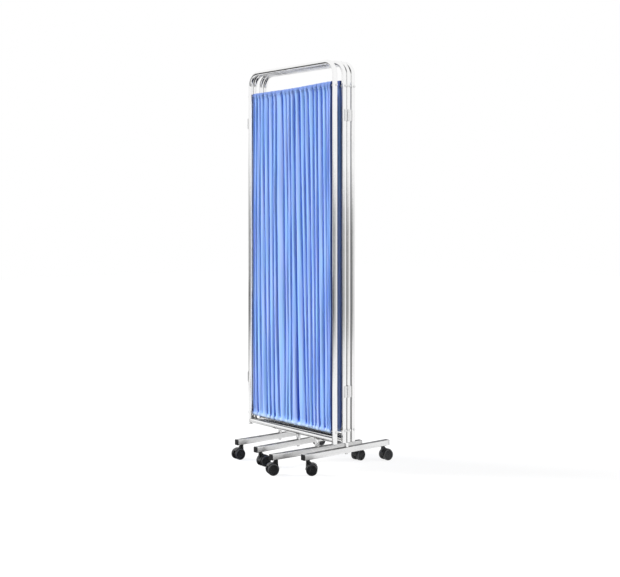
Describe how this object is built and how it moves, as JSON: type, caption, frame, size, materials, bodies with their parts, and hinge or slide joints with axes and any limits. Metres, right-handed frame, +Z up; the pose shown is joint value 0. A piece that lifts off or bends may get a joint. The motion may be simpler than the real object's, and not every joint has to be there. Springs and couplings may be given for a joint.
{
  "type": "folding ward privacy screen on castors",
  "caption": "Folding ward privacy screen of bent steel tube leaves with gathered light blue curtains, hinged together and standing on castored cross feet, shown folded.",
  "frame": {"origin": "middle of the base of the bounding box, on the floor", "axes": "X runs along the folded leaves, Y from the front leaf back through the stack, Z up"},
  "size_m": [0.6642, 0.6414, 1.8],
  "materials": {
    "polished_tube": "polished stainless tube",
    "bright_steel": "satin",
    "curtain_cloth": "plain woven light blue cloth",
    "black_plastic": "moulded, slightly glossy",
    "castor_wheel": "moulded nylon"
  },
  "bodies": {
    "leaf_b": {"frame_b": "polished_tube", "upper_rod_b": "bright_steel", "lower_rod_b": "bright_steel", "curtain_b": "curtain_cloth", "foot_bar_b": "polished_tube", "foot_bolt_b": "bright_steel", "end_plug_b_front": "black_plastic", "end_plug_b_back": "black_plastic", "hinge_ab_upper_pinned": "bright_steel", "hinge_ab_lower_pinned": "bright_steel", "hinge_bc_upper_pinned": "bright_steel", "hinge_bc_lower_pinned": "bright_steel"},
    "castor_b_front": {"castor_fork_b_front": "black_plastic"},
    "wheels_b_front": {"castor_wheels_b_front": "castor_wheel"},
    "castor_b_back": {"castor_fork_b_back": "black_plastic"},
    "wheels_b_back": {"castor_wheels_b_back": "castor_wheel"},
    "leaf_a": {"frame_a": "polished_tube", "upper_rod_a": "bright_steel", "lower_rod_a": "bright_steel", "curtain_a": "curtain_cloth", "foot_bar_a": "polished_tube", "foot_bolt_a": "bright_steel", "end_plug_a_front": "black_plastic", "end_plug_a_back": "black_plastic", "hinge_ab_upper_plain": "bright_steel", "hinge_ab_lower_plain": "bright_steel"},
    "castor_a_front": {"castor_fork_a_front": "black_plastic"},
    "wheels_a_front": {"castor_wheels_a_front": "castor_wheel"},
    "castor_a_back": {"castor_fork_a_back": "black_plastic"},
    "wheels_a_back": {"castor_wheels_a_back": "castor_wheel"},
    "leaf_c": {"frame_c": "polished_tube", "upper_rod_c": "bright_steel", "lower_rod_c": "bright_steel", "curtain_c": "curtain_cloth", "foot_bar_c": "polished_tube", "foot_bolt_c": "bright_steel", "end_plug_c_front": "black_plastic", "end_plug_c_back": "black_plastic", "hinge_bc_upper_plain": "bright_steel", "hinge_bc_lower_plain": "bright_steel", "hinge_cd_upper_pinned": "bright_steel", "hinge_cd_lower_pinned": "bright_steel"},
    "castor_c_front": {"castor_fork_c_front": "black_plastic"},
    "wheels_c_front": {"castor_wheels_c_front": "castor_wheel"},
    "castor_c_back": {"castor_fork_c_back": "black_plastic"},
    "wheels_c_back": {"castor_wheels_c_back": "castor_wheel"},
    "leaf_d": {"frame_d": "polished_tube", "upper_rod_d": "bright_steel", "lower_rod_d": "bright_steel", "curtain_d": "curtain_cloth", "foot_bar_d": "polished_tube", "foot_bolt_d": "bright_steel", "end_plug_d_front": "black_plastic", "end_plug_d_back": "black_plastic", "hinge_cd_upper_plain": "bright_steel", "hinge_cd_lower_plain": "bright_steel"},
    "castor_d_front": {"castor_fork_d_front": "black_plastic"},
    "wheels_d_front": {"castor_wheels_d_front": "castor_wheel"},
    "castor_d_back": {"castor_fork_d_back": "black_plastic"},
    "wheels_d_back": {"castor_wheels_d_back": "castor_wheel"}
  },
  "joints": [
    {"name": "hinge_ab", "type": "hinge", "parent": "leaf_b", "child": "leaf_a", "pos_m": [-0.32929, -0.01327, 0.9], "axis": [0, 0, -1], "range_deg": [-2.6, 177.4]},
    {"name": "hinge_bc", "type": "hinge", "parent": "leaf_b", "child": "leaf_c", "pos_m": [0.32931, 0.01033, 0.9], "axis": [0, 0, -1], "range_deg": [-0.3, 178.7]},
    {"name": "hinge_cd", "type": "hinge", "parent": "leaf_c", "child": "leaf_d", "pos_m": [-0.32858, 0.04886, 0.9], "axis": [0, 0, 1], "range_deg": [-0.3, 179.7]},
    {"name": "swivel_a_front", "type": "hinge", "parent": "leaf_a", "child": "castor_a_front", "pos_m": [0.17958, -0.27442, 0], "axis": [0, 0, 1], "continuous": true},
    {"name": "roll_a_front", "type": "hinge", "parent": "castor_a_front", "child": "wheels_a_front", "pos_m": [0.17305, -0.29012, 0.025], "axis": [0.9232, -0.3843, 0], "continuous": true},
    {"name": "swivel_a_back", "type": "hinge", "parent": "leaf_a", "child": "castor_a_back", "pos_m": [0.20008, 0.17711, 0], "axis": [0, 0, 1], "continuous": true},
    {"name": "roll_a_back", "type": "hinge", "parent": "castor_a_back", "child": "wheels_a_back", "pos_m": [0.19937, 0.1941, 0.025], "axis": [-0.9991, -0.0419, 0], "continuous": true},
    {"name": "swivel_b_front", "type": "hinge", "parent": "leaf_b", "child": "castor_b_front", "pos_m": [0.01254, -0.22743, 0], "axis": [0, 0, 1], "continuous": true},
    {"name": "roll_b_front", "type": "hinge", "parent": "castor_b_front", "child": "wheels_b_front", "pos_m": [0.0137, -0.21047, 0.025], "axis": [-0.9977, 0.068, 0], "continuous": true},
    {"name": "swivel_b_back", "type": "hinge", "parent": "leaf_b", "child": "castor_b_back", "pos_m": [0.00386, 0.22449, 0], "axis": [0, 0, 1], "continuous": true},
    {"name": "roll_b_back", "type": "hinge", "parent": "castor_b_back", "child": "wheels_b_back", "pos_m": [0.00937, 0.24057, 0.025], "axis": [-0.9461, 0.3239, 0], "continuous": true},
    {"name": "swivel_c_front", "type": "hinge", "parent": "leaf_c", "child": "castor_c_front", "pos_m": [-0.17009, -0.19259, 0], "axis": [0, 0, 1], "continuous": true},
    {"name": "roll_c_front", "type": "hinge", "parent": "castor_c_front", "child": "wheels_c_front", "pos_m": [-0.17184, -0.2095, 0.025], "axis": [0.9947, -0.1028, 0], "continuous": true},
    {"name": "swivel_c_back", "type": "hinge", "parent": "leaf_c", "child": "castor_c_back", "pos_m": [-0.16299, 0.25936, 0], "axis": [0, 0, 1], "continuous": true},
    {"name": "roll_c_back", "type": "hinge", "parent": "castor_c_back", "child": "wheels_c_back", "pos_m": [-0.16421, 0.27631, 0.025], "axis": [-0.9974, -0.0715, 0], "continuous": true},
    {"name": "swivel_d_front", "type": "hinge", "parent": "leaf_d", "child": "castor_d_front", "pos_m": [0.27504, -0.17588, 0], "axis": [0, 0, 1], "continuous": true},
    {"name": "roll_d_front", "type": "hinge", "parent": "castor_d_front", "child": "wheels_d_front", "pos_m": [0.28667, -0.16349, 0.025], "axis": [-0.729, 0.6845, 0], "continuous": true},
    {"name": "swivel_d_back", "type": "hinge", "parent": "leaf_d", "child": "castor_d_back", "pos_m": [0.27661, 0.27611, 0], "axis": [0, 0, 1], "continuous": true},
    {"name": "roll_d_back", "type": "hinge", "parent": "castor_d_back", "child": "wheels_d_back", "pos_m": [0.27933, 0.2929, 0.025], "axis": [-0.9871, 0.1599, 0], "continuous": true}
  ],
  "couplings": [
    {"joint": "hinge_cd", "follows": "hinge_bc", "ratio": 1}
  ]
}
